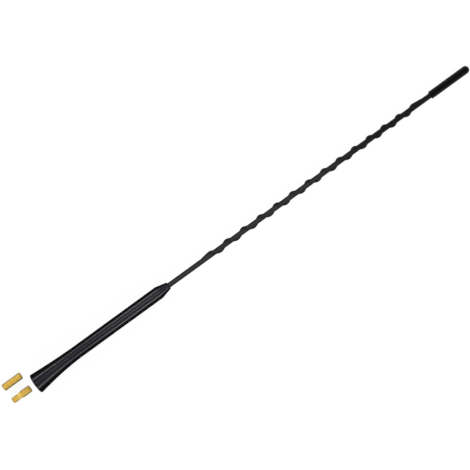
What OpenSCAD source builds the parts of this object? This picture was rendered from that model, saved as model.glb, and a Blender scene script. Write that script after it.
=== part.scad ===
// Car mast aerial: a flared base moulding, a sheathed whip with a spiral ridge,
// a round tip cap, and the two brass studs that screw it to a roof base.
// The mast lies along +X, and its axis leaves the flat end of its foot at the origin.
// +Z is up, and all sizes are in millimetres.

/* [Mast] */
// Length from the foot to the tip
mast_length = 410; // [340:5:480]

/* [Base moulding] */
// Length of the base moulding
base_length = 127; // [110:1:150]
// Diameter of the foot where its side and its end would meet
foot_d = 16.2; // [15.5:0.1:20]
// Distance of the foot's centre from the mast's axis
foot_offset = 1.2; // [0:0.1:1.4]
// Diameter of the slim grip
grip_d = 10.1; // [9.6:0.1:11]
// Distance over which the flare runs out into the grip
flare_length = 42; // [36:0.5:60]
// Distance from the foot to where the flare's two tangents cross
flare_corner = 24.5; // [18:0.5:30]
// Radius of the edge round the foot
rim_round = 0.8; // [0.4:0.1:1.2]
// Length of the tapered shoulder
shoulder_length = 9.2; // [7:0.1:14]
// Radius where the grip bends into the shoulder
shoulder_round = 6; // [2:0.5:12]
// Diameter of the shoulder where its side and its end would meet
top_d = 5.7; // [5.4:0.1:6.5]
// Radius of the edge round the top
top_round = 0.6; // [0.2:0.1:0.7]
// Depth of the mouth in front of the threaded insert
mouth_depth = 1.2; // [0.6:0.1:2]
// Mean width of the flat land between the mouth and the edge of the foot
foot_land = 2.2; // [1.7:0.1:3]

/* [Threaded insert] */
// Length of the insert
insert_length = 24; // [22:0.5:30]
// Thickness of the flange at the mouth
flange_thick = 2; // [1:0.1:3]
// Diameter of the grooved body
insert_d = 8.4; // [8:0.1:9]
// Length of the slim neck that grips the rod
neck_length = 6; // [4:0.5:8]
// Diameter of the slim neck
neck_d = 5; // [4.4:0.1:6]
// Number of anchoring grooves
groove_count = 4; // [1:1:6]
// Width of one anchoring groove
groove_width = 1.2; // [0.6:0.1:1.8]
// Depth of one anchoring groove
groove_depth = 0.5; // [0.2:0.1:0.8]
// Depth of the full thread
thread_depth = 12; // [9:0.5:13]
// Chamfer at the mouth of the thread
thread_chamfer = 0.4; // [0.2:0.1:0.8]
// Depth of the socket that holds the rod
rod_socket = 7; // [5:0.5:8]

/* [Threads] */
// Outer diameter of the thread that the aerial takes
aerial_thread_d = 6; // [5:0.5:6]
// Pitch of the thread that the aerial takes
aerial_thread_pitch = 1; // [0.5:0.05:1]
// Outer diameter of the smaller thread on the stepped stud
small_thread_d = 5; // [4:0.5:5]

/* [Whip] */
// Diameter of the spring steel rod
rod_d = 2.5; // [2:0.1:3]
// Diameter of the wire wound round the rod
wire_d = 1.1; // [0.6:0.1:1.4]
// Number of turns that the wire makes
spiral_turns = 13; // [8:1:16]
// Lowest pitch divided by the highest, from the base to the tip
pitch_grade = 1.2; // [1:0.05:1.5]
// Plain sheath between the base and the ridge
plain_below = 31.7; // [20:0.1:60]
// Plain sheath between the ridge and the cap
plain_above = 5.7; // [4:0.1:20]
// Length over which the wire tapers out at its lower end
lower_taper = 8.3; // [5:0.1:14]
// Length over which the wire tapers out at its upper end
upper_taper = 10.1; // [5:0.1:14]
// Length of the bend from a straight tail into the winding
wire_bend = 1.5; // [1:0.5:5]
// Distance from the end of the ridge to the tip of the wire
wire_setback = 2.6; // [2:0.1:4]

/* [Sheath] */
// Wall of the shrunk sheath
sheath_wall = 0.7; // [0.4:0.05:0.8]
// How far the sheath bridges the corners beside the wire: the ridge is rounder by this much
ridge_fill = 0.55; // [0:0.05:0.8]
// Length of sheath held in the base
sheath_in_base = 12; // [6:0.5:20]
// Length of sheath held in the cap
sheath_in_cap = 12; // [6:0.5:20]

/* [Tip cap] */
// Length of the cap
cap_length = 36; // [30:0.5:45]
// Diameter of the cap
cap_d = 6.1; // [5.6:0.1:8]
// Radius of the edge round the cap's rim
cap_rim_round = 0.4; // [0.2:0.1:0.5]

/* [Studs] */
// Length of each stud
stud_length = 16.6; // [14:0.2:22]
// Chamfer on the ends of the studs
stud_chamfer = 0.5; // [0.2:0.1:0.8]
// Length of the smaller thread on the stepped stud
small_thread_length = 5; // [4:0.2:7]
// Length of the undercut behind the smaller thread
undercut_length = 2.3; // [1.5:0.1:3]
// Depth of the undercut behind the smaller thread
undercut_depth = 0.25; // [0.1:0.05:0.4]
// Length of the cone between the undercut and the larger thread
cone_length = 1.8; // [1:0.1:2.5]
// Distance from the foot to the studs
stud_gap = 6; // [3:0.5:15]
// Distance of the straight stud from the mast's axis
straight_side = 10.8; // [9.5:0.1:20]
// Distance of the stepped stud from the mast's axis
stepped_side = 1.3; // [0:0.1:3]

/* [Fits] */
// Clearance round the rod and the wire inside the sheath
sheath_clear = 0.05; // [0.03:0.01:0.1]
// Height of the wire's seat over the rod
wire_seat = 0.05; // [0.05:0.01:0.1]
// Clearance round the sheath in the base and in the cap
socket_clear = 0.02; // [0.02:0.01:0.1]

/* [Hidden] */

$fn = 96;
overrun = 1;
overlap_guard = 0.001;
seam = 0.01;
drill_angle = 118;
arc_steps = 6;
flare_steps = 16;
flare_sides = 48;
rings_per_turn = 12;
sheath_sides = 14;
wire_sides = 8;

foot_r = foot_d / 2;
grip_r = grip_d / 2;
top_r = top_d / 2;
cap_r = cap_d / 2;
rod_r = rod_d / 2;
wire_r = wire_d / 2;
aerial_thread_r = aerial_thread_d / 2;
small_thread_r = small_thread_d / 2;
tapped_r = aerial_thread_r - aerial_thread_pitch / 2;
mouth_r = foot_r - rim_round - foot_land;
sheath_r = rod_r + sheath_clear + sheath_wall;
socket_r = sheath_r + socket_clear;

cap_start = mast_length - cap_length;
sheath_start = base_length - sheath_in_base;
sheath_end = cap_start + sheath_in_cap;
rod_start = mouth_depth + insert_length - rod_socket;

ridge_start = base_length + plain_below;
ridge_end = cap_start - plain_above;
winding_start = ridge_start + lower_taper;
winding_end = ridge_end - upper_taper;
winding_length = winding_end - winding_start;
high_pitch = 2 * winding_length / spiral_turns / (1 + pitch_grade);
low_pitch = pitch_grade * high_pitch;
ring_step = winding_length / spiral_turns / rings_per_turn;
wire_start = ridge_start + wire_setback;
wire_end = ridge_end - wire_setback;

// The mast lies on the edge of its foot and on its cap, and the studs lie on the same surface
flare_slope = (foot_r - grip_r) / flare_corner;
rim_top = foot_r - rim_round * (flare_slope + norm([1, flare_slope]) - 1);
rest_slope = (rim_top - cap_r) / (mast_length - cap_r - rim_round);
stud_rest = -rim_top - rest_slope * (stud_gap + rim_round) + aerial_thread_r;

// A corner rounded to radius r, as points from the side of a to the side of c
function rounded(a, b, c, r) =
    let (
        u = (a - b) / norm(a - b),
        v = (c - b) / norm(c - b),
        half = acos(u * v) / 2,
        centre = b + (u + v) / norm(u + v) * r / sin(half),
        from = b + u * r / tan(half) - centre,
        first = atan2(from[1], from[0]),
        sweep = (cross(u, v) > 0 ? -1 : 1) * (180 - 2 * half)
    )
    [for (i = [0:arc_steps]) centre + r * [cos(first + sweep * i / arc_steps), sin(first + sweep * i / arc_steps)]];

// A curve from a to c that leaves and arrives along the lines to b
function blend(a, b, c, steps) =
    [for (i = [1:steps]) let (t = i / steps) (1 - t) * (1 - t) * a + 2 * t * (1 - t) * b + t * t * c];

function share(value) = max(0, min(1, value));

// How far the wire's bends ease the start and the end of the winding
function soft(distance) = (distance + norm([distance, wire_bend])) / 2;

// Turns that the wire has made at x, with a pitch that falls evenly from turn to turn
function turns_at(x) =
    let (
        wound = soft(x - winding_start) - soft(x - winding_end),
        fall = 2 * (low_pitch - high_pitch) / spiral_turns
    )
    2 * wound / (low_pitch + sqrt(low_pitch * low_pitch - fall * wound));

// Radius of the wire at x, which tapers out at both ends
function wire_r_at(x) =
    wire_r * share((x - ridge_start) / lower_taper) * share((ridge_end - x) / upper_taper);

// Distance from the mast's axis to the middle of a wire of radius w
function wire_reach(w) = rod_r + w * (1 + wire_seat / wire_r);

// A ring at x: the tight band round the rod and the wire at a distance gap, or only round
// the rod where there is no wire. It is rounder by fill over the wire, at the same height.
// Angle 0 is at +Y and angle 90 at +Z.
function band_ring(x, gap, fill, sides) =
    let (
        w = wire_r_at(x),
        rod_band = rod_r + gap,
        wire_band = w + gap + fill,
        reach = wire_reach(w) - fill,
        turned = 360 * turns_at(x)
    )
    [for (i = [0:sides - 1])
        let (
            a = 360 * i / sides,
            over_wire = reach * cos(a) > rod_band - wire_band + overlap_guard,
            out = over_wire ? reach + wire_band * cos(a) : rod_band * cos(a),
            aside = (over_wire ? wire_band : rod_band) * sin(a)
        )
        [x, out * cos(turned) - aside * sin(turned), out * sin(turned) + aside * cos(turned)]];

// A ring at x round the wire alone
function wire_ring(x) =
    let (w = wire_r_at(x), reach = wire_reach(w), turned = 360 * turns_at(x))
    [for (i = [0:wire_sides - 1])
        let (a = 360 * i / wire_sides, out = reach + w * cos(a), aside = w * sin(a))
        [x, out * cos(turned) - aside * sin(turned), out * sin(turned) + aside * cos(turned)]];

// Where the rings stand between two ends
function stations(first, last) =
    let (count = ceil((last - first) / ring_step))
    [for (i = [0:count]) first + (last - first) * i / count];

// The two end faces of a body made of rings
function ends(rings, sides) =
    [[for (i = [0:sides - 1]) i], [for (i = [1:sides]) rings * sides - i]];

// Triangles between rings of points, seen from outside or, where flipped, from inside.
// Their diagonals run along the mast, so a twisted band stays as full as it can.
function skin(rings, sides, start, flipped) =
    [for (j = [0:rings - 2], i = [0:sides - 1], upper = [0, 1])
        let (
            here = start + j * sides + i,
            beside = start + j * sides + (i + 1) % sides,
            triangle = upper == 0 ? [here, here + sides, beside] : [beside, here + sides, beside + sides]
        )
        flipped ? [triangle[2], triangle[1], triangle[0]] : triangle];

module along_mast(x = 0) {
    translate([x, 0, 0]) rotate([0, 90, 0]) children();
}

module turned(outline, x = 0) {
    along_mast(x) rotate_extrude() polygon(outline);
}

// Outline of the insert, with its grooves spread evenly over the body
insert_outline = let (
        r = insert_d / 2,
        span = insert_length - neck_length - flange_thick,
        half = groove_width / 2
    )
    concat(
        [[0, 0], [mouth_r, 0], [mouth_r, flange_thick], [r, flange_thick]],
        [for (i = [0:groove_count - 1], corner = [[-1, 0], [-1, 1], [1, 1], [1, 0]])
            [r - groove_depth * corner[1],
             flange_thick + span * (i + 0.5) / groove_count + half * corner[0]]],
        [[r, insert_length - neck_length], [neck_d / 2, insert_length - neck_length],
         [neck_d / 2, insert_length], [0, insert_length]]
    );

// The foot and its flare: circles from the foot's, whose centre lies beside the axis, to the grip's.
// Each is given by its radius, its place along the mast and the distance of its centre from the axis.
module flared_foot() {
    rim = rounded([0, 0], [foot_r, 0], [grip_r, flare_corner], rim_round);
    circles = concat(
        [for (point = rim) concat(point, foot_offset * (1 - point[1] / flare_corner))],
        blend([foot_r, 0, foot_offset], [grip_r, flare_corner, 0], [grip_r - seam, flare_length, 0], flare_steps)
    );
    polyhedron(
        points = [for (c = circles, i = [0:flare_sides - 1])
            let (a = 360 * i / flare_sides)
            [c[1], c[0] * cos(a) - c[2], c[0] * sin(a)]],
        faces = concat(skin(len(circles), flare_sides, 0, false), ends(len(circles), flare_sides))
    );
}

module base_moulding() {
    shoulder_corner = [grip_r, base_length - shoulder_length];
    top_corner = [top_r, base_length];
    grip_outline = concat(
        [[0, flare_length], [grip_r, flare_length]],
        rounded([grip_r, flare_length], shoulder_corner, top_corner, shoulder_round),
        rounded(shoulder_corner, top_corner, [0, base_length], top_round),
        [[0, base_length]]
    );
    color([0.07, 0.07, 0.08]) difference() {
        union() {
            flared_foot();
            turned(grip_outline);
        }
        along_mast(-overrun) cylinder(r = mouth_r, h = mouth_depth + overrun);
        turned(insert_outline, mouth_depth);
        along_mast(rod_start) cylinder(r = rod_r, h = base_length);
        along_mast(sheath_start) cylinder(r = socket_r, h = base_length);
    }
}

module threaded_insert() {
    drill_point = tapped_r / tan(drill_angle / 2);
    color([0.80, 0.63, 0.28]) difference() {
        turned(insert_outline, mouth_depth);
        along_mast(mouth_depth - overrun) cylinder(r = tapped_r, h = thread_depth + overrun);
        along_mast(mouth_depth)
            cylinder(r1 = tapped_r + thread_chamfer, r2 = tapped_r, h = thread_chamfer);
        along_mast(mouth_depth + thread_depth) cylinder(r1 = tapped_r, r2 = 0, h = drill_point);
        along_mast(rod_start) cylinder(r = rod_r, h = rod_socket + overrun);
    }
}

module whip_rod() {
    color([0.62, 0.63, 0.65]) along_mast(rod_start) cylinder(r = rod_r, h = sheath_end - rod_start);
}

module spiral_wire() {
    places = stations(wire_start, wire_end);
    rings = len(places);
    color([0.72, 0.45, 0.30]) polyhedron(
        points = [for (x = places) each wire_ring(x)],
        faces = concat(skin(rings, wire_sides, 0, false), ends(rings, wire_sides))
    );
}

module whip_sheath() {
    places = concat([sheath_start], stations(ridge_start, ridge_end), [sheath_end]);
    rings = len(places);
    inside = rings * sheath_sides;
    last = inside - sheath_sides;
    hole_gap = (rod_r + sheath_clear) / cos(180 / sheath_sides) - rod_r;
    color([0.17, 0.17, 0.18]) polyhedron(
        points = concat(
            [for (x = places) each band_ring(x, sheath_clear + sheath_wall, ridge_fill, sheath_sides)],
            [for (x = places) each band_ring(x, hole_gap, 0, sheath_sides)]
        ),
        faces = concat(
            skin(rings, sheath_sides, 0, false),
            skin(rings, sheath_sides, inside, true),
            [for (i = [0:sheath_sides - 1])
                [i, (i + 1) % sheath_sides, inside + (i + 1) % sheath_sides, inside + i]],
            [for (i = [0:sheath_sides - 1])
                [last + i, inside + last + i,
                 inside + last + (i + 1) % sheath_sides, last + (i + 1) % sheath_sides]]
        )
    );
}

module tip_cap() {
    round_centre = cap_length - cap_r;
    outline = concat(
        [[0, 0]],
        rounded([0, 0], [cap_r, 0], [cap_r, round_centre], cap_rim_round),
        [[cap_r, round_centre], [0, round_centre]]
    );
    color([0.06, 0.06, 0.06]) difference() {
        union() {
            turned(outline, cap_start);
            along_mast(cap_start + round_centre) sphere(r = cap_r);
        }
        along_mast(cap_start - overrun) cylinder(r = socket_r, h = sheath_in_cap + overrun);
    }
}

// A stud lies with its end stud_gap in front of the foot, at a distance side from the axis
module lying_stud(side) {
    color([0.84, 0.67, 0.29]) translate([-stud_gap - stud_length, side, stud_rest])
        along_mast() rotate_extrude() children();
}

module straight_stud() {
    r = aerial_thread_r;
    lying_stud(straight_side) polygon([
        [0, 0], [r - stud_chamfer, 0], [r, stud_chamfer],
        [r, stud_length - stud_chamfer], [r - stud_chamfer, stud_length], [0, stud_length]
    ]);
}

module stepped_stud() {
    slim = small_thread_r - undercut_depth;
    undercut_end = small_thread_length + undercut_length;
    lying_stud(-stepped_side) polygon([
        [0, 0],
        [small_thread_r - stud_chamfer, 0],
        [small_thread_r, stud_chamfer],
        [small_thread_r, small_thread_length],
        [slim, small_thread_length + undercut_depth],
        [slim, undercut_end],
        [aerial_thread_r, undercut_end + cone_length],
        [aerial_thread_r, stud_length - stud_chamfer],
        [aerial_thread_r - stud_chamfer, stud_length],
        [0, stud_length]
    ]);
}

base_moulding();
threaded_insert();
whip_rod();
spiral_wire();
whip_sheath();
tip_cap();
straight_stud();
stepped_stud();
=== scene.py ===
"""Car mast aerial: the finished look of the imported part.

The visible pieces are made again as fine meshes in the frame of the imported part, every piece
gets its material, and a plain pale studio is set up with the camera at the picture's angle.
The mast lies along +X, its axis leaves the foot at the origin, and all sizes are in metres.
"""

import math

import bmesh
import bpy
from bpy.props import FloatProperty, FloatVectorProperty, IntProperty, PointerProperty
from mathutils import Matrix, Vector


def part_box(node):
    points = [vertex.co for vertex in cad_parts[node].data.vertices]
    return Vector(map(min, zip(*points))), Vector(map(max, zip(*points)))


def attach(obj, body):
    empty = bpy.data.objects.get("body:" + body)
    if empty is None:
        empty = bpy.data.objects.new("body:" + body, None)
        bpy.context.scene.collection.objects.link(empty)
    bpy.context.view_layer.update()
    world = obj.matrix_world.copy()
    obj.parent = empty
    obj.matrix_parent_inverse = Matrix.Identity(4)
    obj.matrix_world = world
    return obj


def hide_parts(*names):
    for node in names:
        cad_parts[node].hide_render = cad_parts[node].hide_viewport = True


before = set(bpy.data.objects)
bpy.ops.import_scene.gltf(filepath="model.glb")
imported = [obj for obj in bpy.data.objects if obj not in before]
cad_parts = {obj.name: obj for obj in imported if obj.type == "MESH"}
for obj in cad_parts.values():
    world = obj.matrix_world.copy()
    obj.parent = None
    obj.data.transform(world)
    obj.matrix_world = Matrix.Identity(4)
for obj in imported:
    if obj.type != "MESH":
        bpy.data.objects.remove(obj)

bl_info = {
    "name": "Car Mast Aerial",
    "version": (1, 0, 0),
    "blender": (4, 5, 0),
    "location": "View3D > Sidebar > Mast Aerial",
    "description": "Finished pieces of a car mast aerial round its packed frame, and a studio for them",
    "category": "Add Mesh",
}

MM = 0.001
TURN = 2 * math.pi
BODY = "root"

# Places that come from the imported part
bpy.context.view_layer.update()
BASE_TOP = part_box("base_moulding")[1].x
INSERT_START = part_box("threaded_insert")[0].x
INSERT_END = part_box("threaded_insert")[1].x
ROD_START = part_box("whip_rod")[0].x
WIRE_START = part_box("spiral_wire")[0].x
WIRE_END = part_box("spiral_wire")[1].x
SHEATH_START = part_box("whip_sheath")[0].x
SHEATH_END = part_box("whip_sheath")[1].x
CAP_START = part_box("tip_cap")[0].x
MAST_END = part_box("tip_cap")[1].x

# Fineness of the meshes
LATHE_SIDES = 144
ARC_STEPS = 6
FLARE_STEPS = 40
SHEATH_SIDES = 60
WIRE_SIDES = 16
RINGS_PER_TURN = 44
THREAD_SIDES = 72
RINGS_PER_PITCH = 14
SHARP_ANGLE = math.radians(32)

# A metric thread: the slope of its flanks, and its crest and its depth as shares of the pitch
FLANK_ANGLE = math.radians(30)
CREST_SHARE = 1 / 8
DEPTH_SHARE = 0.613
DRILL_POINT_ANGLE = math.radians(59)

# Where a finish changes: from one place on the mast to another, counted along it or from its axis
FLARE_DULL = (18 * MM, 38 * MM)
GRIP_POLISH = (40 * MM, 92 * MM)
SHOULDER_DULL = (BASE_TOP - 11 * MM, BASE_TOP - 5 * MM)
SHOULDER_SIDE = (-1 * MM, 1.5 * MM)
FOOT_RUBBED = (4 * MM, 26 * MM)
FOOT_MIDDLE = (0.8 * MM, 2.6 * MM)
# The ridge's rise and sides and the stretch towards the tip are where the sleeve's colour is painted darker,
# as painted shade
RIDGE_RISE = (2.0 * MM, 2.7 * MM)
RIDGE_SIDE = (0.5 * MM, 1.8 * MM)
TIP_PAINTED_SHADE = (252 * MM, 328 * MM)

# Where a stud's brass is painted darker, as painted shade at its sides and its ends, and where the line lies
# on which that painted shade is least, as shares of its half length or half width
STUD_END = (0.88, 1.0)
STUD_SIDE = (0.45, 1.05)
STUD_BRIGHT_LINE = 0.05

# Where a finish changes towards its edges: 0 is seen from the front, and 1 is seen edge-on. Besides the
# plastic's fading gloss, these mark painted light: the plastic, the sleeve and the brass are painted darker
# edge-on as painted shade, and the cap is painted lighter as a painted sheen
PLASTIC_EDGE = (0.11, 0.29)
SLEEVE_EDGE = (0.0, 0.35)
RUBBER_EDGE = (0.0, 0.45)
BRASS_EDGE = (0.1, 0.6)

# The picture is square, and places in it count from the middle of its first pixel
PICTURE_SIDE = 470
FOOT_PIXEL = Vector((34.35, 382.30))
TIP_PIXEL = Vector((468.00, 67.10))
SENSOR_WIDTH_MM = 36

# The nearest and the farthest that the camera sees, as shares of its distance
NEAREST = 0.01
FARTHEST = 10


def length(name, description, default):
    """A size that the user may change."""
    return FloatProperty(
        name=name, description=description, default=default, min=0, unit="LENGTH", precision=5
    )


def angle_of(name, description, degrees):
    """An angle that the user may change."""
    return FloatProperty(
        name=name, description=description, default=math.radians(degrees), subtype="ANGLE"
    )


def colour(name, description, default):
    """A colour that the user may change."""
    return FloatVectorProperty(
        name=name, description=description, default=default, size=3, min=0, max=1, subtype="COLOR"
    )


def share(name, description, default):
    """A number from 0 to 1 that the user may change."""
    return FloatProperty(
        name=name, description=description, default=default, min=0, max=1, subtype="FACTOR"
    )


def number(name, description, default, lowest):
    """A number that the user may change, such as a ratio or a light level."""
    return FloatProperty(name=name, description=description, default=default, min=lowest)


class BaseSizes(bpy.types.PropertyGroup):
    """Sizes of the base moulding."""

    foot_d: length("Foot diameter", "Where the foot's side and its end would meet", 16.2 * MM)
    foot_offset: length("Foot offset", "Distance of the foot's centre from the mast's axis", 1.2 * MM)
    grip_d: length("Grip diameter", "Diameter of the slim grip", 10.1 * MM)
    flare_length: length("Flare length", "Distance over which the flare runs out into the grip", 42 * MM)
    flare_corner: length("Flare corner", "Where the flare's two tangents cross", 24.5 * MM)
    rim_round: length("Rim rounding", "Radius of the edge round the foot", 0.8 * MM)
    shoulder_length: length("Shoulder length", "Length of the tapered shoulder", 9.2 * MM)
    shoulder_round: length("Shoulder rounding", "Radius where the grip bends into the shoulder", 6 * MM)
    top_d: length("Top diameter", "Where the shoulder's side and its end would meet", 5.7 * MM)
    top_round: length("Top rounding", "Radius of the edge round the top", 0.6 * MM)
    mouth_d: length("Mouth diameter", "Diameter of the mouth and of the insert's flange", 10.2 * MM)


class InsertSizes(bpy.types.PropertyGroup):
    """Sizes of the threaded insert."""

    flange_thick: length("Flange thickness", "Thickness of the flange at the mouth", 2 * MM)
    body_d: length("Body diameter", "Diameter of the grooved body", 8.4 * MM)
    neck_length: length("Neck length", "Length of the slim neck that grips the rod", 6 * MM)
    neck_d: length("Neck diameter", "Diameter of the slim neck", 5 * MM)
    groove_count: IntProperty(name="Grooves", description="Number of anchoring grooves", default=4, min=1)
    groove_width: length("Groove width", "Width of one anchoring groove", 1.2 * MM)
    groove_depth: length("Groove depth", "Depth of one anchoring groove", 0.5 * MM)
    thread_depth: length("Thread depth", "Depth of the full thread", 12 * MM)
    thread_chamfer: length("Thread chamfer", "Chamfer at the mouth of the thread", 0.4 * MM)


class WhipSizes(bpy.types.PropertyGroup):
    """Sizes of the rod, of the wire wound round it and of the sheath over both."""

    rod_d: length("Rod diameter", "Diameter of the spring steel rod", 2.5 * MM)
    wire_d: length("Wire diameter", "Diameter of the wire wound round the rod", 1.1 * MM)
    spiral_turns: IntProperty(name="Turns", description="Turns that the wire makes", default=13, min=1)
    pitch_grade: number("Pitch grade", "Pitch at the foot's end divided by the pitch at the tip's", 1.2, 1)
    plain_below: length("Plain below", "Plain sheath between the base and the ridge", 31.7 * MM)
    plain_above: length("Plain above", "Plain sheath between the ridge and the cap", 5.7 * MM)
    lower_taper: length("Lower taper", "Length over which the wire tapers out below", 8.3 * MM)
    upper_taper: length("Upper taper", "Length over which the wire tapers out above", 10.1 * MM)
    wire_bend: length("Wire bend", "Bend from a straight tail into the winding", 1.5 * MM)
    sheath_wall: length("Sheath wall", "Wall of the shrunk sheath", 0.7 * MM)
    ridge_fill: length("Ridge fill", "How much rounder the sheath makes the ridge", 0.55 * MM)
    sheath_clear: length("Sheath clearance", "Clearance round the rod and the wire", 0.05 * MM)
    wire_seat: length("Wire seat", "Height of the wire's seat over the rod", 0.05 * MM)
    socket_clear: length("Socket clearance", "Clearance round the sheath in the base and the cap", 0.02 * MM)


class CapSizes(bpy.types.PropertyGroup):
    """Sizes of the tip cap."""

    diameter: length("Diameter", "Diameter of the cap", 6.1 * MM)
    rim_round: length("Rim rounding", "Radius of the edge round the rim", 0.4 * MM)


class StudSizes(bpy.types.PropertyGroup):
    """Sizes of the two studs and of their threads."""

    large_d: length("Large thread", "Outer diameter of the thread that the aerial takes", 6 * MM)
    large_pitch: length("Large pitch", "Pitch of the thread that the aerial takes", 1 * MM)
    small_d: length("Small thread", "Outer diameter of the smaller thread", 5 * MM)
    small_pitch: length("Small pitch", "Pitch of the smaller thread", 0.8 * MM)
    chamfer: length("Chamfer", "Chamfer on the ends", 0.5 * MM)
    small_length: length("Small thread length", "Length of the smaller thread", 5 * MM)
    undercut_length: length("Undercut length", "Length of the undercut behind the smaller thread", 2.3 * MM)
    undercut_depth: length("Undercut depth", "Depth of the undercut behind the smaller thread", 0.25 * MM)
    cone_length: length("Cone length", "Cone between the undercut and the larger thread", 1.8 * MM)


class Finish(bpy.types.PropertyGroup):
    """Colours and gloss of the materials."""

    # Partly painted light: the base colour's purple tint stands in for tinted light reflected from above, and
    # the base edge shade is painted shade on the plastic where it is seen edge-on
    base_colour: colour("Base colour", "Moulded plastic of the base", (0.0060, 0.0046, 0.0086))
    base_edge_shade: colour("Base edge shade", "The base's plastic where it is seen edge-on", (0.0038, 0.0036, 0.0034))
    base_gloss: share("Base gloss", "Gloss of the moulded plastic, seen from the front", 0.5)
    base_roughness: share("Base roughness", "Roughness of the moulded plastic's gloss", 0.22)
    sheath_colour: colour("Sheath colour", "Shrunk sleeve of the whip", (0.0205, 0.0189, 0.0191))
    cap_colour: colour("Cap colour", "Rubber of the cap", (0.0015, 0.0015, 0.0015))
    # Painted sheen: the cap's rubber is painted lighter where it is seen edge-on
    cap_painted_sheen: colour("Cap painted sheen", "The cap's dusty rubber where it is seen edge-on", (0.016, 0.016, 0.016))
    brass_colour: colour("Brass colour", "Turned brass of the studs", (0.745, 0.566, 0.154))
    insert_colour: colour("Insert colour", "Dulled brass of the insert", (0.62, 0.42, 0.15))
    rod_colour: colour("Rod colour", "Drawn spring steel", (0.55, 0.56, 0.58))
    wire_colour: colour("Wire colour", "Drawn wire", (0.50, 0.50, 0.51))


class Studio(bpy.types.PropertyGroup):
    """The floor, the lamps and the camera."""

    floor_side: length("Floor side", "Side of the square floor", 36)
    floor_colour: colour("Floor colour", "Plain pale floor", (0.90, 0.90, 0.90))
    floor_white: share("Floor white", "Share of plain white in what the floor shows", 0.88)
    room_light: number("Room light", "Radiance of the pale room", 0.7, 0)
    left_light: number("Left lamp", "Radiance of the lamp left of the mast", 9.0, 0)
    right_light: number("Right lamp", "Radiance of the lamp right of the mast", 8.0, 0)
    top_light: number("Top lamp", "Radiance of the lamp over the mast", 6.0, 0)
    left_angle: angle_of("Left angle", "Angle of the left lamp from the view", 57)
    right_angle: angle_of("Right angle", "Angle of the right lamp from the view", 53)
    top_angle: angle_of("Top angle", "Angle of the top lamp from the view", 7)
    lamp_distance: length("Lamp distance", "Distance of the lamps from the mast", 1.1)
    lamp_length: length("Lamp length", "Length of the lamps along the mast", 2.4)
    left_width: length("Left lamp width", "Width of the left lamp", 0.18)
    right_width: length("Right lamp width", "Width of the right lamp", 0.22)
    top_width: length("Top lamp width", "Width of the top lamp", 0.11)
    camera_distance: length("Camera distance", "Distance of the camera from the foot", 12)
    lean: angle_of("Lean", "How far the tip leans to the camera", 8.45)


class MastAerial(bpy.types.PropertyGroup):
    """All settings of the mast aerial."""

    base: PointerProperty(type=BaseSizes)
    insert: PointerProperty(type=InsertSizes)
    whip: PointerProperty(type=WhipSizes)
    cap: PointerProperty(type=CapSizes)
    studs: PointerProperty(type=StudSizes)
    finish: PointerProperty(type=Finish)
    studio: PointerProperty(type=Studio)


# Outlines: points of a radius and a place along the axis, and some also of how far the centre is off it


def rounded(before, corner, after, radius):
    """The arc that rounds a corner of an outline, from the side of before to the side of after."""
    back = (before - corner).normalized()
    on = (after - corner).normalized()
    half = back.angle(on) / 2
    centre = corner + (back + on).normalized() * radius / math.sin(half)
    start = corner + back * radius / math.tan(half) - centre
    sweep = math.copysign(math.pi - 2 * half, -back.cross(on))
    return [centre + Matrix.Rotation(sweep * i / ARC_STEPS, 2) @ start for i in range(ARC_STEPS + 1)]


def blend(start, aim, end):
    """A curve that leaves start and arrives at end along the lines to aim."""
    shares = [i / FLARE_STEPS for i in range(1, FLARE_STEPS + 1)]
    return [(1 - t) ** 2 * start + 2 * t * (1 - t) * aim + t * t * end for t in shares]


def base_outline(sizes):
    """The outer side of the base moulding, from its foot to its top. The foot's centre is off the axis."""
    foot = Vector((sizes.foot_d / 2, 0, sizes.foot_offset))
    aim = Vector((sizes.grip_d / 2, sizes.flare_corner, 0))
    flare_end = Vector((sizes.grip_d / 2, sizes.flare_length, 0))
    shoulder = Vector((sizes.grip_d / 2, BASE_TOP - sizes.shoulder_length))
    top = Vector((sizes.top_d / 2, BASE_TOP))
    rim = rounded(Vector((0, 0)), foot.xy, aim.xy, sizes.rim_round)
    return [
        *[Vector((*point, sizes.foot_offset * (1 - point.y / sizes.flare_corner))) for point in rim],
        *blend(foot, aim, flare_end),
        *rounded(flare_end.xy, shoulder, top, sizes.shoulder_round),
        *rounded(shoulder, top, Vector((0, BASE_TOP)), sizes.top_round),
    ]


def insert_outline(sizes, mouth_r):
    """The outer side of the threaded insert, from the edge of its flange to its neck's end."""
    body_r = sizes.body_d / 2
    neck_r = sizes.neck_d / 2
    body_start = INSERT_START + sizes.flange_thick
    neck_start = INSERT_END - sizes.neck_length
    outline = [Vector((mouth_r, INSERT_START)), Vector((mouth_r, body_start)), Vector((body_r, body_start))]
    for i in range(sizes.groove_count):
        middle = body_start + (neck_start - body_start) * (i + 0.5) / sizes.groove_count
        for side, depth in ((-1, 0), (-1, 1), (1, 1), (1, 0)):
            radius = body_r - sizes.groove_depth * depth
            outline.append(Vector((radius, middle + sizes.groove_width / 2 * side)))
    outline += [Vector((body_r, neck_start)), Vector((neck_r, neck_start)), Vector((neck_r, INSERT_END))]
    return outline


# Rings of points round the axis, and the skins through them


def ring(x, radius, sides, centre=(0, 0)):
    """Points round the axis at x. The radius is a number or a function of the angle, and angle 0 is at +Y."""
    angles = [TURN * i / sides for i in range(sides)]
    radii = [radius(angle) if callable(radius) else radius for angle in angles]
    return [(x, centre[0] + r * math.cos(a), centre[1] + r * math.sin(a)) for a, r in zip(angles, radii)]


def pole(x, centre=(0, 0)):
    """The single point that closes an end."""
    return [(x, centre[0], centre[1])]


def turned(outline):
    """Rings that turn an outline round the axis. A point's third number is how far its centre is off it."""
    return [ring(point.y, point.x, LATHE_SIDES, (-point.to_3d().z, 0)) for point in outline]


def places(first, last, step):
    """Evenly spread places from first to last, at most a step apart."""
    count = math.ceil((last - first) / step)
    return [first + (last - first) * i / count for i in range(count + 1)]


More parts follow.
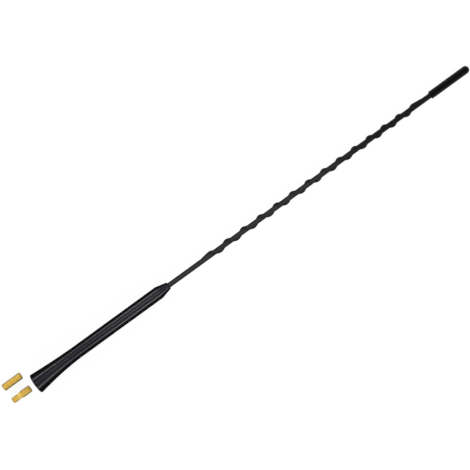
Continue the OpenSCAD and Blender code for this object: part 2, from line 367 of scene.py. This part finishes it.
def skin(name, rings, looped=False):
    """A closed mesh through rings of points. Where it is looped, the last ring joins the first one."""
    mesh = bmesh.new()
    rows = [[mesh.verts.new(point) for point in points] for points in rings]
    following = rows[1:] + rows[:1] if looped else rows[1:]
    for row, upper in zip(rows, following):
        for i in range(max(len(row), len(upper))):
            low = [row[i % len(row)], row[(i + 1) % len(row)]]
            high = [upper[(i + 1) % len(upper)], upper[i % len(upper)]]
            mesh.faces.new(dict.fromkeys(low + high))
    bmesh.ops.recalc_face_normals(mesh, faces=mesh.faces)
    data = bpy.data.meshes.new(name)
    mesh.to_mesh(data)
    mesh.free()
    data.shade_smooth()
    data.set_sharp_from_angle(angle=SHARP_ANGLE)
    piece = bpy.data.objects.new(name, data)
    bpy.context.scene.collection.objects.link(piece)
    return piece


def seat(piece, node, material):
    """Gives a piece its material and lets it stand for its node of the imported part."""
    piece.data.materials.append(material)
    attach(piece, BODY)
    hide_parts(node)


# Threads


def thread_cut(x, angle, pitch):
    """How deep the groove of a right-handed thread lies under its crests at a place and an angle."""
    off_crest = abs((x / pitch - angle / TURN + 0.5) % 1 - 0.5) * pitch
    off_flat = max(0, off_crest - CREST_SHARE * pitch / 2)
    return min(off_flat / math.tan(FLANK_ANGLE), DEPTH_SHARE * pitch)


def outline_at(outline, x):
    """Radius of an outline at x."""
    for low, high in zip(outline, outline[1:]):
        if low.y <= x < high.y:
            return low.x + (high.x - low.x) * (x - low.y) / (high.y - low.y)
    return outline[-1].x


def stud_rings(outline, thread_at, low, high):
    """Rings of a threaded stud that lies between two corners of its box."""
    centre = ((low.y + high.y) / 2, (low.z + high.z) / 2)
    step = min(thread_at(point.y)[1] for point in outline) / RINGS_PER_PITCH
    corners = {point.y for point in outline}
    stations = sorted(corners.union(places(0, high.x - low.x, step)))

    def radius_at(x):
        """The radius at x as a function of the angle: the outline, or the thread where that is deeper."""
        crest_r, pitch = thread_at(x)
        return lambda angle: min(outline_at(outline, x), crest_r - thread_cut(x, angle, pitch))

    rings = [ring(low.x + x, radius_at(x), THREAD_SIDES, centre) for x in stations]
    return [pole(low.x, centre), *rings, pole(high.x, centre)]


# The whip


def soft(distance, bend):
    """How far a bend eases the start of the winding."""
    return (distance + math.hypot(distance, bend)) / 2


class Winding:
    """The wire's run round the rod: how far it has turned and how thick it is at a place."""

    def __init__(self, sizes):
        self.sizes = sizes
        self.rod_r = sizes.rod_d / 2
        self.socket_r = self.rod_r + sizes.sheath_clear + sizes.sheath_wall + sizes.socket_clear
        self.wire_r = sizes.wire_d / 2
        self.start = BASE_TOP + sizes.plain_below
        self.end = CAP_START - sizes.plain_above
        self.first = self.start + sizes.lower_taper
        self.last = self.end - sizes.upper_taper
        self.high_pitch = 2 * (self.last - self.first) / sizes.spiral_turns / (1 + sizes.pitch_grade)
        self.low_pitch = sizes.pitch_grade * self.high_pitch
        self.step = self.high_pitch / RINGS_PER_TURN

    def angle(self, x):
        """Angle that the wire has turned through at x, with a pitch that falls evenly from turn to turn."""
        wound = soft(x - self.first, self.sizes.wire_bend) - soft(x - self.last, self.sizes.wire_bend)
        fall = 2 * (self.low_pitch - self.high_pitch) / self.sizes.spiral_turns
        return TURN * 2 * wound / (self.low_pitch + math.sqrt(self.low_pitch**2 - fall * wound))

    def wire_at(self, x):
        """Radius of the wire at x and the distance of its middle from the axis."""
        below = min(1, max(0, (x - self.start) / self.sizes.lower_taper))
        above = min(1, max(0, (self.end - x) / self.sizes.upper_taper))
        wire_r = self.wire_r * below * above
        return wire_r, self.rod_r + wire_r * (1 + self.sizes.wire_seat / self.wire_r)

    def band(self, x, gap, fill=0):
        """A ring at x of the tight band that lies a gap outside the rod and the wire.

        The fill makes it rounder over the wire.
        """
        wire_r, reach = self.wire_at(x)
        core_r = self.rod_r + gap
        wire_r += gap + fill
        reach -= fill
        turned_by = self.angle(x)
        touch = math.acos(min(1, (core_r - wire_r) / reach))
        wire_touch = math.atan2(wire_r * math.sin(touch), reach + wire_r * math.cos(touch))

        def radius(angle):
            """Distance of the band from the axis: over the rod, along the bridge or over the wire."""
            off = abs((angle - turned_by + math.pi) % TURN - math.pi)
            if off >= touch:
                return core_r
            if off >= wire_touch:
                return core_r / math.cos(off - touch)
            return reach * math.cos(off) + math.sqrt(wire_r**2 - (reach * math.sin(off)) ** 2)

        return ring(x, radius, SHEATH_SIDES)

    def wire_ring(self, x):
        """A ring at x round the wire alone."""
        wire_r, reach = self.wire_at(x)
        turned_by = self.angle(x)
        return ring(x, wire_r, WIRE_SIDES, (reach * math.cos(turned_by), reach * math.sin(turned_by)))


# Shader trees


class Signal:
    """What leaves a socket of a shader tree. Arithmetic on it adds Math nodes."""

    def __init__(self, tree, socket):
        self.tree = tree
        self.socket = socket

    def math(self, operation, first, second=0.0):
        """One Math node."""
        return self.tree.node("ShaderNodeMath", {"operation": operation}, {0: first, 1: second})

    def __add__(self, other):
        return self.math("ADD", self, other)

    def __radd__(self, other):
        return self.math("ADD", other, self)

    def __sub__(self, other):
        return self.math("SUBTRACT", self, other)

    def __rsub__(self, other):
        return self.math("SUBTRACT", other, self)

    def __mul__(self, other):
        return self.math("MULTIPLY", self, other)

    def __rmul__(self, other):
        return self.math("MULTIPLY", other, self)

    def __abs__(self):
        return self.math("ABSOLUTE", self)


class Tree:
    """A shader tree that is built from Python expressions."""

    def __init__(self, owner):
        owner.use_nodes = True
        self.nodes = owner.node_tree.nodes
        self.links = owner.node_tree.links
        self.nodes.clear()

    def node(self, kind, settings=None, sockets=None, output=0):
        """Adds a node with its settings and its sockets' values or links, and gives one of its outputs."""
        made = self.nodes.new(kind)
        for name, value in (settings or {}).items():
            setattr(made, name, value)
        for name, value in (sockets or {}).items():
            if isinstance(value, Signal):
                self.links.new(value.socket, made.inputs[name])
            else:
                made.inputs[name].default_value = value
        return Signal(self, made.outputs[output]) if made.outputs else None

    def mix(self, factor, low, high):
        """A colour between two colours."""
        return self.node("ShaderNodeMix", {"data_type": "RGBA"}, {0: factor, 6: low, 7: high}, output=2)

    def stretch(self, vector, scale):
        """A vector with each part times its own scale."""
        return self.node("ShaderNodeVectorMath", {"operation": "MULTIPLY"}, {0: vector, 1: scale})

    def ramp(self, value, low, high):
        """0 where the value is under low and 1 where it is over high, with a smooth step between."""
        settings = {"interpolation_type": "SMOOTHSTEP"}
        return self.node("ShaderNodeMapRange", settings, {"Value": value, "From Min": low, "From Max": high})

    def mottled(self, pattern, colour, low, high):
        """A colour that goes with a pattern from a low share of itself to a high one."""
        return self.mix(pattern, rgba(colour, low), rgba(colour, high))

    def edge_on(self, low, high):
        """0 where a surface is seen from the front and 1 where it is seen edge-on."""
        facing = self.node("ShaderNodeLayerWeight", {}, {"Blend": 0.5}, output="Facing")
        return self.ramp(facing, low, high)

    def place(self):
        """Place on the piece, in metres."""
        return self.node("ShaderNodeTexCoord", output="Object")

    def part(self, vector, axis):
        """One part of a vector."""
        return self.node("ShaderNodeSeparateXYZ", {}, {"Vector": vector}, output=axis)

    def long(self, vector):
        """How long a vector is."""
        return self.node("ShaderNodeVectorMath", {"operation": "LENGTH"}, {0: vector}, output="Value")

    def noise(self, vector, size, detail):
        """Noise whose grains have a size in metres."""
        sockets = {"Vector": vector, "Scale": 1 / size, "Detail": detail}
        return self.node("ShaderNodeTexNoise", {}, sockets)

    def bump(self, height, depth, strength):
        """A surface that rises by a height from 0 to 1 times a depth in metres."""
        return self.node("ShaderNodeBump", {}, {"Height": height, "Distance": depth, "Strength": strength})

    def surface(self, **sockets):
        """Ends the tree with a Principled surface, whose sockets are named with underscores."""
        named = {name.replace("_", " "): value for name, value in sockets.items()}
        shader = self.node("ShaderNodeBsdfPrincipled", {}, named)
        self.node("ShaderNodeOutputMaterial", {}, {"Surface": shader})


def new_material(name):
    """A new material and its tree."""
    made = bpy.data.materials.new(name)
    return made, Tree(made)


def rgba(colour, factor=1.0):
    """A colour times a factor, with the alpha that sockets want."""
    return (colour[0] * factor, colour[1] * factor, colour[2] * factor, 1.0)


def moulded_plastic(finish):
    """Satin black plastic. Its gloss fades where it is seen edge-on, as on any finely grained surface.

    It is glossier towards the top, and duller where the flare ends, on one side of the shoulder and along the
    middle of the foot.
    """
    made, tree = new_material("moulded_plastic")
    place = tree.place()
    x = tree.part(place, "X")
    y = tree.part(place, "Y")
    flow = tree.noise(tree.stretch(place, (0.04, 1, 1)), size=0.9 * MM, detail=3)
    grain = tree.noise(place, size=0.16 * MM, detail=3)
    streaks = 0.86 + 0.28 * flow
    flare_loss = 0.2 * tree.ramp(x, *FLARE_DULL)
    grip_gain = 0.52 * tree.ramp(x, *GRIP_POLISH)
    side_loss = 0.3 + 0.42 * tree.ramp(y, *SHOULDER_SIDE)
    shoulder_loss = side_loss * tree.ramp(x, *SHOULDER_DULL)
    foot_loss = 0.4 * (1 - tree.ramp(abs(y), *FOOT_MIDDLE)) * (1 - tree.ramp(x, *FOOT_RUBBED))
    gloss = streaks * (0.92 - flare_loss + grip_gain) * (1 - shoulder_loss) * (1 - foot_loss)
    # Painted tint and shade: edge-on, the colour goes from the purple-tinted face, which stands in for tinted
    # light from above, to the darker and untinted base edge shade. The same mask fades the gloss
    edge = tree.edge_on(*PLASTIC_EDGE)
    face = tree.mottled(flow, finish.base_colour, 0.75, 1.25)
    tree.surface(
        Base_Color=tree.mix(edge, face, rgba(finish.base_edge_shade)),
        Roughness=0.55 + 0.15 * grain,
        Specular_IOR_Level=0.0,
        Coat_Weight=(1 - edge) * gloss * finish.base_gloss,
        Coat_Roughness=finish.base_roughness,
        Normal=tree.bump(grain + flow, depth=0.006 * MM, strength=0.5),
    )
    return made


def shrunk_sleeve(finish):
    """Matt black sleeve, drawn a little lengthwise where it shrank.

    Its colour is painted darker at the ridge's sides, at its own edges and towards the tip: painted shade.
    """
    made, tree = new_material("shrunk_sleeve")
    place = tree.place()
    off_axis = tree.long(tree.stretch(place, (0, 1, 1)))
    drawn = tree.noise(tree.stretch(place, (0.35, 1, 1)), size=0.9 * MM, detail=3)
    grain = tree.noise(place, size=0.12 * MM, detail=2)
    # Painted shade: the sleeve's colour is painted darker at the ridge's sides, towards the tip and where it
    # is seen edge-on
    ridge_painted_shade = rgba(finish.sheath_colour, 0.25)
    tip_painted_shade = rgba(finish.sheath_colour, 0.08)
    edge_painted_shade = rgba(finish.sheath_colour, 0.3)
    sleeve = tree.mottled(drawn, finish.sheath_colour, 0.5, 1.5)
    ridge_side = tree.ramp(off_axis, *RIDGE_RISE) * tree.ramp(abs(tree.part(place, "Y")), *RIDGE_SIDE)
    ridged = tree.mix(ridge_side, sleeve, ridge_painted_shade)
    to_tip = tree.ramp(tree.part(place, "X"), *TIP_PAINTED_SHADE)
    tree.surface(
        Base_Color=tree.mix(tree.edge_on(*SLEEVE_EDGE), tree.mix(to_tip, ridged, tip_painted_shade), edge_painted_shade),
        Roughness=0.55 + 0.2 * drawn,
        Specular_IOR_Level=0.1,
        Normal=tree.bump(grain + drawn, depth=0.01 * MM, strength=0.6),
    )
    return made


def cap_rubber(finish):
    """Dull black rubber with a fine pebbled skin. Its colour is painted lighter where it is seen edge-on: a
    painted sheen.
    """
    made, tree = new_material("cap_rubber")
    place = tree.place()
    pebble_size = 0.22 * MM
    sockets = {"Vector": place, "Scale": 1 / pebble_size}
    pebbles = tree.node("ShaderNodeTexVoronoi", {}, sockets, output="Distance")
    dust = tree.noise(place, size=1.4 * MM, detail=4)
    rubber = tree.mottled(dust, finish.cap_colour, 0.7, 1.4)
    # Painted sheen: the rubber's colour goes lighter where it is seen edge-on
    tree.surface(
        Base_Color=tree.mix(tree.edge_on(*RUBBER_EDGE), rubber, rgba(finish.cap_painted_sheen)),
        Roughness=0.6 + 0.15 * dust,
        Specular_IOR_Level=0.03,
        Normal=tree.bump(pebbles, depth=0.008 * MM, strength=0.5),
    )
    return made


def turned_brass(name, colour, roughness, painted_shade=lambda tree: 0.0):
    """Turned brass with fine rings from the tool and patches of tarnish. Its colour is painted darkest where
    the painted shade it is given reaches 1, and a little darker where it is seen edge-on: both are painted
    shade.
    """
    made, tree = new_material(name)
    place = tree.place()
    rings = tree.noise(tree.stretch(place, (1, 0.03, 0.03)), size=0.07 * MM, detail=2)
    tarnish = tree.noise(place, size=1.8 * MM, detail=4)
    clean = tree.mottled(tarnish, colour, 0.9, 1.06)
    brass = tree.mix(tree.edge_on(*BRASS_EDGE), clean, rgba(colour, 0.9))
    tree.surface(
        Base_Color=tree.mix(painted_shade(tree), brass, rgba(colour, 0.2)),
        Metallic=1.0,
        Roughness=roughness + 0.16 * rings,
        Normal=tree.bump(rings, depth=0.004 * MM, strength=0.6),
    )
    return made


def stud_brass(finish, low, high):
    """Brass of a stud that lies between two corners of its box. Its sides and its ends are painted darker, as
    painted shade.
    """
    middle = (low + high) / 2
    half = (high - low) / 2
    end_span = [reach * half.x for reach in STUD_END]
    side_span = [reach * half.y for reach in STUD_SIDE]
    bright_line = middle.y + STUD_BRIGHT_LINE * half.y

    def painted_shade(tree):
        """How much painted shade the brass gets: 0 along the stud's middle and 1 at its sides, a little less
        at its ends.
        """
        place = tree.place()
        off_middle = abs(tree.part(place, "X") - middle.x)
        off_line = abs(tree.part(place, "Y") - bright_line)
        end = 0.6 * tree.ramp(off_middle, *end_span)
        return end.math("MAXIMUM", end, tree.ramp(off_line, *side_span))

    return turned_brass("stud_brass", finish.brass_colour, 0.58, painted_shade)


def drawn_steel(name, colour):
    """Drawn steel with fine lines along its length."""
    made, tree = new_material(name)
    lines = tree.noise(tree.stretch(tree.place(), (0.02, 1, 1)), size=0.12 * MM, detail=3)
    tree.surface(
        Base_Color=tree.mottled(lines, colour, 0.8, 1.1),
        Metallic=1.0,
        Roughness=0.25 + 0.2 * lines,
        Normal=tree.bump(lines, depth=0.004 * MM, strength=0.6),
    )
    return made


def seen_as_background(tree):
    """1 for what the camera, a reflection or a clear piece sees, and 0 for light on the object."""
    seen = 0.0
    for kind in ("Is Camera Ray", "Is Glossy Ray", "Is Transmission Ray"):
        seen = tree.node("ShaderNodeLightPath", output=kind) + seen
    return seen.math("MINIMUM", seen, 1.0)


def pale_floor(studio):
    """A plain pale floor that shows white and keeps a faint shadow."""
    made, tree = new_material("pale_floor")
    patches = tree.noise(tree.place(), size=60 * MM, detail=3)
    shade = tree.mottled(patches, studio.floor_colour, 0.98, 1.02)
    sockets = {"Base Color": shade, "Roughness": 1.0, "Specular IOR Level": 0.0}
    pale = tree.node("ShaderNodeBsdfPrincipled", {}, sockets)
    white = tree.node("ShaderNodeEmission", {}, {"Strength": 1.0})
    whiteness = seen_as_background(tree) * studio.floor_white
    both = tree.node("ShaderNodeMixShader", {}, {0: whiteness, 1: pale, 2: white})
    tree.node("ShaderNodeOutputMaterial", {}, {"Surface": both})
    return made


class AERIAL_OT_base_moulding(bpy.types.Operator):
    """Make the base moulding with its flared foot, grip and shoulder"""

    bl_idname = "aerial.base_moulding"
    bl_label = "Base Moulding"

    def execute(self, context):
        aerial = context.scene.mast_aerial
        whip = Winding(aerial.whip)
        mouth_r = aerial.base.mouth_d / 2
        cavity = insert_outline(aerial.insert, mouth_r)[:0:-1]
        outline = [
            Vector((mouth_r, 0)),
            *base_outline(aerial.base),
            Vector((whip.socket_r, BASE_TOP)),
            Vector((whip.socket_r, SHEATH_START)),
            Vector((whip.rod_r, SHEATH_START)),
            Vector((whip.rod_r, INSERT_END)),
            *cavity,
        ]
        piece = skin("base_moulding_fine", turned(outline), looped=True)
        seat(piece, "base_moulding", moulded_plastic(aerial.finish))
        return {"FINISHED"}


class AERIAL_OT_threaded_insert(bpy.types.Operator):
    """Make the brass insert in the foot with its thread"""

    bl_idname = "aerial.threaded_insert"
    bl_label = "Threaded Insert"

    def execute(self, context):
        aerial = context.scene.mast_aerial
        sizes = aerial.insert
        pitch = aerial.studs.large_pitch
        crest_r = aerial.studs.large_d / 2
        tapped_r = crest_r - pitch / 2
        rod_r = aerial.whip.rod_d / 2
        drill_point = tapped_r / math.tan(DRILL_POINT_ANGLE)

        def groove_r(x, angle):
            """The thread's radius at x and at an angle, which runs out at the end of its depth."""
            run_out = min(1, (sizes.thread_depth - x) / pitch)
            return tapped_r + run_out * (crest_r - thread_cut(x, angle, pitch) - tapped_r)

        def radius_at(x):
            """The tapped hole's radius at x as a function of the angle."""
            mouth = tapped_r + max(0, sizes.thread_chamfer - x)
            return lambda angle: max(mouth, groove_r(x, angle))

        stations = places(0, sizes.thread_depth, pitch / RINGS_PER_PITCH)
        thread = [ring(INSERT_START + x, radius_at(x), LATHE_SIDES) for x in stations]
        socket = [Vector((rod_r, INSERT_END)), Vector((rod_r, ROD_START))]
        rings = [
            pole(INSERT_START + sizes.thread_depth + drill_point),
            *reversed(thread),
            *turned(insert_outline(sizes, aerial.base.mouth_d / 2) + socket),
            pole(ROD_START),
        ]
        piece = skin("threaded_insert_fine", rings)
        brass = turned_brass("insert_brass", aerial.finish.insert_colour, 0.3)
        seat(piece, "threaded_insert", brass)
        return {"FINISHED"}


class AERIAL_OT_whip_core(bpy.types.Operator):
    """Give the rod its steel and make the wire that is wound round it"""

    bl_idname = "aerial.whip_core"
    bl_label = "Rod and Wire"

    def execute(self, context):
        aerial = context.scene.mast_aerial
        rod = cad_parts["whip_rod"]
        rod.material_slots[0].material = drawn_steel("rod_steel", aerial.finish.rod_colour)
        whip = Winding(aerial.whip)
        rings = [whip.wire_ring(x) for x in places(WIRE_START, WIRE_END, whip.step)]
        start, end = [[tuple(sum(axis) / WIRE_SIDES for axis in zip(*rings[i]))] for i in (0, -1)]
        piece = skin("spiral_wire_fine", [start, *rings, end])
        seat(piece, "spiral_wire", drawn_steel("wire_steel", aerial.finish.wire_colour))
        return {"FINISHED"}


class AERIAL_OT_whip_sheath(bpy.types.Operator):
    """Make the sleeve that is shrunk over the rod and the wire"""

    bl_idname = "aerial.whip_sheath"
    bl_label = "Whip Sheath"

    def execute(self, context):
        aerial = context.scene.mast_aerial
        whip = Winding(aerial.whip)
        inner_gap = aerial.whip.sheath_clear
        outer_gap = inner_gap + aerial.whip.sheath_wall
        stations = [SHEATH_START, *places(whip.start, whip.end, whip.step), SHEATH_END]
        outside = [whip.band(x, outer_gap, aerial.whip.ridge_fill) for x in stations]
        inside = [whip.band(x, inner_gap) for x in reversed(stations)]
        piece = skin("whip_sheath_fine", outside + inside, looped=True)
        seat(piece, "whip_sheath", shrunk_sleeve(aerial.finish))
        return {"FINISHED"}


class AERIAL_OT_tip_cap(bpy.types.Operator):
    """Make the round-ended cap over the top of the sheath"""

    bl_idname = "aerial.tip_cap"
    bl_label = "Tip Cap"

    def execute(self, context):
        aerial = context.scene.mast_aerial
        radius = aerial.cap.diameter / 2
        socket_r = Winding(aerial.whip).socket_r
        edge = Vector((radius, CAP_START))
        dome_start = Vector((radius, MAST_END - radius))
        rim = rounded(Vector((0, CAP_START)), edge, dome_start, aerial.cap.rim_round)
        steps = 4 * ARC_STEPS
        angles = [TURN / 4 * i / steps for i in range(steps)]
        dome = [Vector((radius * math.cos(a), dome_start.y + radius * math.sin(a))) for a in angles]
        outline = [Vector((socket_r, SHEATH_END)), Vector((socket_r, CAP_START)), *rim, *dome]
        piece = skin("tip_cap_fine", [pole(SHEATH_END), *turned(outline), pole(MAST_END)])
        seat(piece, "tip_cap", cap_rubber(aerial.finish))
        return {"FINISHED"}


class AERIAL_OT_studs(bpy.types.Operator):
    """Make the straight and the stepped brass stud with their threads"""

    bl_idname = "aerial.studs"
    bl_label = "Brass Studs"

    def execute(self, context):
        aerial = context.scene.mast_aerial
        sizes = aerial.studs
        large_r = sizes.large_d / 2
        small_r = sizes.small_d / 2
        slim_r = small_r - sizes.undercut_depth
        undercut_end = sizes.small_length + sizes.undercut_length

        low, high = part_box("straight_stud")
        end = high.x - low.x
        outline = [
            Vector((large_r - sizes.chamfer, 0)),
            Vector((large_r, sizes.chamfer)),
            Vector((large_r, end - sizes.chamfer)),
            Vector((large_r - sizes.chamfer, end)),
        ]
        rings = stud_rings(outline, lambda x: (large_r, sizes.large_pitch), low, high)
        brass = stud_brass(aerial.finish, low, high)
        seat(skin("straight_stud_fine", rings), "straight_stud", brass)

        low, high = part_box("stepped_stud")
        outline = [
            Vector((small_r - sizes.chamfer, 0)),
            Vector((small_r, sizes.chamfer)),
            Vector((small_r, sizes.small_length)),
            Vector((slim_r, sizes.small_length + sizes.undercut_depth)),
            Vector((slim_r, undercut_end)),
            Vector((large_r, undercut_end + sizes.cone_length)),
            Vector((large_r, end - sizes.chamfer)),
            Vector((large_r - sizes.chamfer, end)),
        ]

        def thread_at(x):
            """Crest radius and pitch of the thread at x."""
            if x < undercut_end:
                return small_r, sizes.small_pitch
            return large_r, sizes.large_pitch

        rings = stud_rings(outline, thread_at, low, high)
        brass = stud_brass(aerial.finish, low, high)
        seat(skin("stepped_stud_fine", rings), "stepped_stud", brass)
        return {"FINISHED"}


def view_from(studio):
    """The direction from the mast to the camera."""
    return Vector((math.sin(studio.lean), 0, math.cos(studio.lean)))


def strip_lamp(name, studio, angle, width, radiance):
    """A long lamp along the mast, beside or over it at an angle from the view, that shines on its middle."""
    outward = view_from(studio) * math.cos(angle) + Vector((0, math.sin(angle), 0))
    across = outward.cross(Vector((1, 0, 0))).normalized()
    rotation = Matrix((across.cross(outward), across, outward)).transposed()
    light = bpy.data.lights.new(name, "AREA")
    light.shape = "RECTANGLE"
    light.size = studio.lamp_length
    light.size_y = width
    light.energy = radiance * math.pi * studio.lamp_length * width
    lamp = bpy.data.objects.new(name, light)
    bpy.context.scene.collection.objects.link(lamp)
    location = Vector((MAST_END / 2, 0, 0)) + outward * studio.lamp_distance
    lamp.matrix_world = Matrix.LocRotScale(location, rotation.to_quaternion(), None)


def lay_floor(studio, base, cap):
    """The floor that the foot's rim, the cap and the studs rest on."""
    foot_r = base.foot_d / 2
    slope = (foot_r - base.grip_d / 2) / base.flare_corner
    rim_top = foot_r - base.rim_round * (slope + math.hypot(1, slope) - 1)
    cap_r = cap.diameter / 2
    rise = (rim_top - cap_r) / (MAST_END - cap_r - base.rim_round)
    half = studio.floor_side / 2
    heights = {side: -rim_top + rise * (side * half - base.rim_round) for side in (-1, 1)}
    corners = [(side * half, end * half, heights[side]) for side, end in ((-1, -1), (1, -1), (1, 1), (-1, 1))]
    data = bpy.data.meshes.new("floor")
    data.from_pydata(corners, [], [(0, 1, 2, 3)])
    data.materials.append(pale_floor(studio))
    floor = bpy.data.objects.new("floor", data)
    bpy.context.scene.collection.objects.link(floor)


def light_room(studio):
    """The pale room round the floor."""
    room = bpy.data.worlds.new("room")
    bpy.context.scene.world = room
    tree = Tree(room)
    glow = tree.node("ShaderNodeBackground", {}, {"Strength": studio.room_light})
    tree.node("ShaderNodeOutputWorld", {}, {"Surface": glow})


def aim_camera(studio, cap):
    """Places the camera so that the foot and the tip land on their pixels of the picture."""
    to_camera = view_from(studio)
    along = Vector((math.cos(studio.lean), 0, -math.sin(studio.lean)))
    across = Vector((0, 1, 0))
    cap_r = cap.diameter / 2
    tip = Vector((MAST_END - cap_r, 0, 0)) + along * cap_r
    middle = Vector((PICTURE_SIDE - 1, PICTURE_SIDE - 1)) / 2
    foot_at = (FOOT_PIXEL - middle) * Vector((1, -1))
    tip_at = (TIP_PIXEL - middle) * Vector((1, -1))
    foot_depth = studio.camera_distance
    span = tip_at * (foot_depth - tip.dot(to_camera)) - foot_at * foot_depth
    focal = span.length / tip.dot(along)
    roll = math.atan2(span.y, span.x)
    right = along * math.cos(roll) - across * math.sin(roll)
    up = along * math.sin(roll) + across * math.cos(roll)
    lens = bpy.data.cameras.new("camera")
    lens.sensor_width = SENSOR_WIDTH_MM
    lens.lens = focal * SENSOR_WIDTH_MM / PICTURE_SIDE
    lens.clip_start = foot_depth * NEAREST
    lens.clip_end = foot_depth * FARTHEST
    camera = bpy.data.objects.new("camera", lens)
    bpy.context.scene.collection.objects.link(camera)
    location = to_camera * foot_depth - (right * foot_at.x + up * foot_at.y) * foot_depth / focal
    rotation = Matrix((right, up, to_camera)).transposed()
    camera.matrix_world = Matrix.LocRotScale(location, rotation.to_quaternion(), None)
    bpy.context.scene.camera = camera


class AERIAL_OT_stage(bpy.types.Operator):
    """Set up the floor, the room, the lamps and the camera"""

    bl_idname = "aerial.stage"
    bl_label = "Studio"

    def execute(self, context):
        aerial = context.scene.mast_aerial
        studio = aerial.studio
        lay_floor(studio, aerial.base, aerial.cap)
        light_room(studio)
        strip_lamp("left_lamp", studio, studio.left_angle, studio.left_width, studio.left_light)
        strip_lamp("right_lamp", studio, -studio.right_angle, studio.right_width, studio.right_light)
        strip_lamp("top_lamp", studio, studio.top_angle, studio.top_width, studio.top_light)
        aim_camera(studio, aerial.cap)
        context.scene.view_settings.view_transform = "Standard"
        return {"FINISHED"}


OPERATORS = (
    AERIAL_OT_base_moulding,
    AERIAL_OT_threaded_insert,
    AERIAL_OT_whip_core,
    AERIAL_OT_whip_sheath,
    AERIAL_OT_tip_cap,
    AERIAL_OT_studs,
    AERIAL_OT_stage,
)


class AERIAL_PT_sidebar(bpy.types.Panel):
    """Settings and pieces of the mast aerial."""

    bl_idname = "AERIAL_PT_sidebar"
    bl_label = "Car Mast Aerial"
    bl_space_type = "VIEW_3D"
    bl_region_type = "UI"
    bl_category = "Mast Aerial"

    def draw(self, context):
        """Lists each group of settings, then the operators."""
        aerial = context.scene.mast_aerial
        for group_name in MastAerial.__annotations__:
            group = getattr(aerial, group_name)
            box = self.layout.box()
            box.label(text=group_name.capitalize())
            for setting in type(group).__annotations__:
                box.prop(group, setting)
        for operator in OPERATORS:
            self.layout.operator(operator.bl_idname)


CLASSES = (
    BaseSizes,
    InsertSizes,
    WhipSizes,
    CapSizes,
    StudSizes,
    Finish,
    Studio,
    MastAerial,
    *OPERATORS,
    AERIAL_PT_sidebar,
)


def register():
    """Registers the settings, the operators and the panel."""
    for each in CLASSES:
        bpy.utils.register_class(each)
    bpy.types.Scene.mast_aerial = PointerProperty(type=MastAerial)


def unregister():
    """Takes back what register does."""
    del bpy.types.Scene.mast_aerial
    for each in reversed(CLASSES):
        bpy.utils.unregister_class(each)


def main():
    """Makes every piece and the studio."""
    register()
    bpy.ops.aerial.base_moulding()
    bpy.ops.aerial.threaded_insert()
    bpy.ops.aerial.whip_core()
    bpy.ops.aerial.whip_sheath()
    bpy.ops.aerial.tip_cap()
    bpy.ops.aerial.studs()
    bpy.ops.aerial.stage()


if __name__ == "__main__":
    main()
